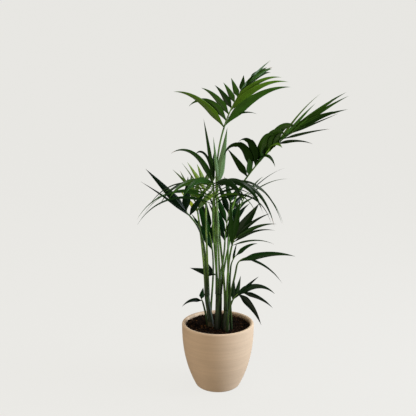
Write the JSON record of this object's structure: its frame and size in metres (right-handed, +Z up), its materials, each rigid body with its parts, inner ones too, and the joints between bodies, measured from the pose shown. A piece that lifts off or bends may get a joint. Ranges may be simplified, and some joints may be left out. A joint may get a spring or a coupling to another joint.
{
  "type": "potted kentia palm",
  "caption": "Potted kentia palm: sheathed stems, long green stalks and arching feather-like fronds, standing in a round beige stoneware pot filled with bark compost.",
  "frame": {"origin": "centre of the pot's flat underside, on the surface the pot stands on", "axes": "+Z up, the pictured side faces -Y, and +X is to the right in the picture"},
  "size_m": [0.8735, 0.7543, 1.4879],
  "materials": {
    "pot_clay": "unglazed matte stoneware with fine throwing lines",
    "compost": "dark moist bark compost",
    "sheath_green": "fibrous dark green leaf sheaths",
    "stalk_green": "smooth satin green",
    "leaf_green": "satin dark green leaf"
  },
  "bodies": {
    "root": {"frond_back": "leaf_green", "frond_back_left": "leaf_green", "frond_behind": "leaf_green", "frond_crown": "leaf_green", "frond_east": "leaf_green", "frond_far_left": "leaf_green", "frond_front": "leaf_green", "frond_left_foot": "leaf_green", "frond_left_low": "leaf_green", "frond_right_back": "leaf_green", "frond_right_foot": "leaf_green", "frond_right_inner": "leaf_green", "frond_right_low": "leaf_green", "frond_right_mid": "leaf_green", "frond_spear": "leaf_green", "frond_spire": "leaf_green", "frond_west": "leaf_green", "pot": "pot_clay", "soil": "compost", "stalk_back": "stalk_green", "stalk_back_left": "stalk_green", "stalk_behind": "stalk_green", "stalk_crown": "stalk_green", "stalk_east": "stalk_green", "stalk_far_left": "stalk_green", "stalk_front": "stalk_green", "stalk_left_foot": "stalk_green", "stalk_left_low": "stalk_green", "stalk_right_back": "stalk_green", "stalk_right_foot": "stalk_green", "stalk_right_inner": "stalk_green", "stalk_right_low": "stalk_green", "stalk_right_mid": "stalk_green", "stalk_spear": "stalk_green", "stalk_spire": "stalk_green", "stalk_west": "stalk_green", "stem_left": "sheath_green", "stem_middle": "sheath_green", "stem_right": "sheath_green"}
  },
  "joints": []
}
